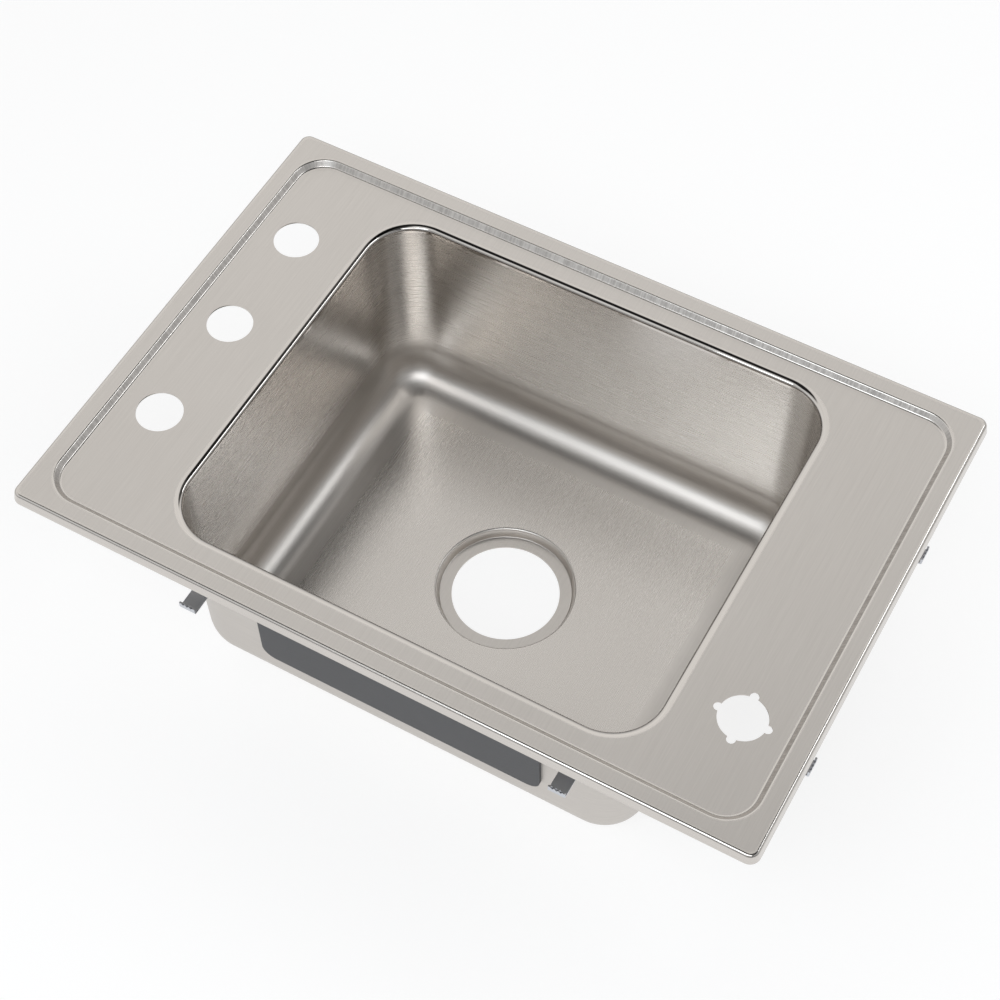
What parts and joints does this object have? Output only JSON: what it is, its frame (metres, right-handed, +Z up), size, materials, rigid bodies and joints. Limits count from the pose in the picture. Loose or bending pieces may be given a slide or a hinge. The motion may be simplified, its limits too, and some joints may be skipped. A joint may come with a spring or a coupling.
{
  "type": "classroom sink",
  "caption": "Drop-in stainless steel sink with one deep bowl, a raised rim, faucet holes on one end ledge, a notched fountain hole on the other, and rail clamps.",
  "frame": {"origin": "under the middle of the deck, at the underside of the drain seat, the lowest point", "axes": "+Z up, +X from the faucet ledge to the drinking-fountain ledge, +Y from front to back"},
  "size_m": [0.635, 0.4318, 0.2034],
  "materials": {
    "stainless": "satin",
    "rail_steel": "satin",
    "zinc_steel": "satin",
    "damping_pad": "matte"
  },
  "bodies": {
    "sink": {"sink_shell": "stainless", "floor_pad": "damping_pad", "front_rail": "rail_steel", "front_pad": "damping_pad", "back_rail": "rail_steel", "back_pad": "damping_pad", "faucet_end_rail": "rail_steel", "faucet_end_pad": "damping_pad", "fountain_end_rail": "rail_steel", "fountain_end_pad": "damping_pad"},
    "front_bolt_1_body": {"front_bolt_1": "zinc_steel"},
    "front_jaw_1_body": {"front_jaw_1": "zinc_steel"},
    "front_nut_1_body": {"front_nut_1": "zinc_steel"},
    "front_bolt_2_body": {"front_bolt_2": "zinc_steel"},
    "front_jaw_2_body": {"front_jaw_2": "zinc_steel"},
    "front_nut_2_body": {"front_nut_2": "zinc_steel"},
    "back_bolt_1_body": {"back_bolt_1": "zinc_steel"},
    "back_jaw_1_body": {"back_jaw_1": "zinc_steel"},
    "back_nut_1_body": {"back_nut_1": "zinc_steel"},
    "back_bolt_2_body": {"back_bolt_2": "zinc_steel"},
    "back_jaw_2_body": {"back_jaw_2": "zinc_steel"},
    "back_nut_2_body": {"back_nut_2": "zinc_steel"},
    "faucet_end_bolt_1_body": {"faucet_end_bolt_1": "zinc_steel"},
    "faucet_end_jaw_1_body": {"faucet_end_jaw_1": "zinc_steel"},
    "faucet_end_nut_1_body": {"faucet_end_nut_1": "zinc_steel"},
    "faucet_end_bolt_2_body": {"faucet_end_bolt_2": "zinc_steel"},
    "faucet_end_jaw_2_body": {"faucet_end_jaw_2": "zinc_steel"},
    "faucet_end_nut_2_body": {"faucet_end_nut_2": "zinc_steel"},
    "fountain_end_bolt_1_body": {"fountain_end_bolt_1": "zinc_steel"},
    "fountain_end_jaw_1_body": {"fountain_end_jaw_1": "zinc_steel"},
    "fountain_end_nut_1_body": {"fountain_end_nut_1": "zinc_steel"},
    "fountain_end_bolt_2_body": {"fountain_end_bolt_2": "zinc_steel"},
    "fountain_end_jaw_2_body": {"fountain_end_jaw_2": "zinc_steel"},
    "fountain_end_nut_2_body": {"fountain_end_nut_2": "zinc_steel"}
  },
  "joints": [
    {"name": "front_clamp_1_slide", "type": "slide", "parent": "sink", "child": "front_bolt_1_body", "axis": [1, 0, 0], "range_m": [-0.09, 0.09]},
    {"name": "front_clamp_1_rise", "type": "slide", "parent": "front_bolt_1_body", "child": "front_jaw_1_body", "axis": [0, 0, 1], "range_m": [0, 0.0254]},
    {"name": "front_clamp_1_nut_turn", "type": "hinge", "parent": "front_jaw_1_body", "child": "front_nut_1_body", "pos_m": [-0.1605, -0.18787, 0.15], "axis": [0, 0, 1], "range_deg": [0, 8640]},
    {"name": "front_clamp_2_slide", "type": "slide", "parent": "sink", "child": "front_bolt_2_body", "axis": [1, 0, 0], "range_m": [-0.09, 0.09]},
    {"name": "front_clamp_2_rise", "type": "slide", "parent": "front_bolt_2_body", "child": "front_jaw_2_body", "axis": [0, 0, 1], "range_m": [0, 0.0254]},
    {"name": "front_clamp_2_nut_turn", "type": "hinge", "parent": "front_jaw_2_body", "child": "front_nut_2_body", "pos_m": [0.1605, -0.18787, 0.15], "axis": [0, 0, 1], "range_deg": [0, 8640]},
    {"name": "back_clamp_1_slide", "type": "slide", "parent": "sink", "child": "back_bolt_1_body", "axis": [1, 0, 0], "range_m": [-0.09, 0.09]},
    {"name": "back_clamp_1_rise", "type": "slide", "parent": "back_bolt_1_body", "child": "back_jaw_1_body", "axis": [0, 0, 1], "range_m": [0, 0.0254]},
    {"name": "back_clamp_1_nut_turn", "type": "hinge", "parent": "back_jaw_1_body", "child": "back_nut_1_body", "pos_m": [0.1605, 0.18787, 0.15], "axis": [0, 0, 1], "range_deg": [0, 8640]},
    {"name": "back_clamp_2_slide", "type": "slide", "parent": "sink", "child": "back_bolt_2_body", "axis": [1, 0, 0], "range_m": [-0.09, 0.09]},
    {"name": "back_clamp_2_rise", "type": "slide", "parent": "back_bolt_2_body", "child": "back_jaw_2_body", "axis": [0, 0, 1], "range_m": [0, 0.0254]},
    {"name": "back_clamp_2_nut_turn", "type": "hinge", "parent": "back_jaw_2_body", "child": "back_nut_2_body", "pos_m": [-0.1605, 0.18787, 0.15], "axis": [0, 0, 1], "range_deg": [0, 8640]},
    {"name": "faucet_end_clamp_1_slide", "type": "slide", "parent": "sink", "child": "faucet_end_bolt_1_body", "axis": [0, 1, 0], "range_m": [-0.045, 0.045]},
    {"name": "faucet_end_clamp_1_rise", "type": "slide", "parent": "faucet_end_bolt_1_body", "child": "faucet_end_jaw_1_body", "axis": [0, 0, 1], "range_m": [0, 0.0254]},
    {"name": "faucet_end_clamp_1_nut_turn", "type": "hinge", "parent": "faucet_end_jaw_1_body", "child": "faucet_end_nut_1_body", "pos_m": [-0.28947, 0.1049, 0.15], "axis": [0, 0, 1], "range_deg": [0, 8640]},
    {"name": "faucet_end_clamp_2_slide", "type": "slide", "parent": "sink", "child": "faucet_end_bolt_2_body", "axis": [0, 1, 0], "range_m": [-0.045, 0.045]},
    {"name": "faucet_end_clamp_2_rise", "type": "slide", "parent": "faucet_end_bolt_2_body", "child": "faucet_end_jaw_2_body", "axis": [0, 0, 1], "range_m": [0, 0.0254]},
    {"name": "faucet_end_clamp_2_nut_turn", "type": "hinge", "parent": "faucet_end_jaw_2_body", "child": "faucet_end_nut_2_body", "pos_m": [-0.28947, -0.1049, 0.15], "axis": [0, 0, 1], "range_deg": [0, 8640]},
    {"name": "fountain_end_clamp_1_slide", "type": "slide", "parent": "sink", "child": "fountain_end_bolt_1_body", "axis": [0, 1, 0], "range_m": [-0.045, 0.045]},
    {"name": "fountain_end_clamp_1_rise", "type": "slide", "parent": "fountain_end_bolt_1_body", "child": "fountain_end_jaw_1_body", "axis": [0, 0, 1], "range_m": [0, 0.0254]},
    {"name": "fountain_end_clamp_1_nut_turn", "type": "hinge", "parent": "fountain_end_jaw_1_body", "child": "fountain_end_nut_1_body", "pos_m": [0.28947, -0.1049, 0.15], "axis": [0, 0, 1], "range_deg": [0, 8640]},
    {"name": "fountain_end_clamp_2_slide", "type": "slide", "parent": "sink", "child": "fountain_end_bolt_2_body", "axis": [0, 1, 0], "range_m": [-0.045, 0.045]},
    {"name": "fountain_end_clamp_2_rise", "type": "slide", "parent": "fountain_end_bolt_2_body", "child": "fountain_end_jaw_2_body", "axis": [0, 0, 1], "range_m": [0, 0.0254]},
    {"name": "fountain_end_clamp_2_nut_turn", "type": "hinge", "parent": "fountain_end_jaw_2_body", "child": "fountain_end_nut_2_body", "pos_m": [0.28947, 0.1049, 0.15], "axis": [0, 0, 1], "range_deg": [0, 8640]}
  ],
  "couplings": [
    {"joint": "front_clamp_1_nut_turn", "follows": "front_clamp_1_rise", "rad_per_m": 5936.8},
    {"joint": "front_clamp_2_nut_turn", "follows": "front_clamp_2_rise", "rad_per_m": 5936.8},
    {"joint": "back_clamp_1_nut_turn", "follows": "back_clamp_1_rise", "rad_per_m": 5936.8},
    {"joint": "back_clamp_2_nut_turn", "follows": "back_clamp_2_rise", "rad_per_m": 5936.8},
    {"joint": "faucet_end_clamp_1_nut_turn", "follows": "faucet_end_clamp_1_rise", "rad_per_m": 5936.8},
    {"joint": "faucet_end_clamp_2_nut_turn", "follows": "faucet_end_clamp_2_rise", "rad_per_m": 5936.8},
    {"joint": "fountain_end_clamp_1_nut_turn", "follows": "fountain_end_clamp_1_rise", "rad_per_m": 5936.8},
    {"joint": "fountain_end_clamp_2_nut_turn", "follows": "fountain_end_clamp_2_rise", "rad_per_m": 5936.8}
  ]
}
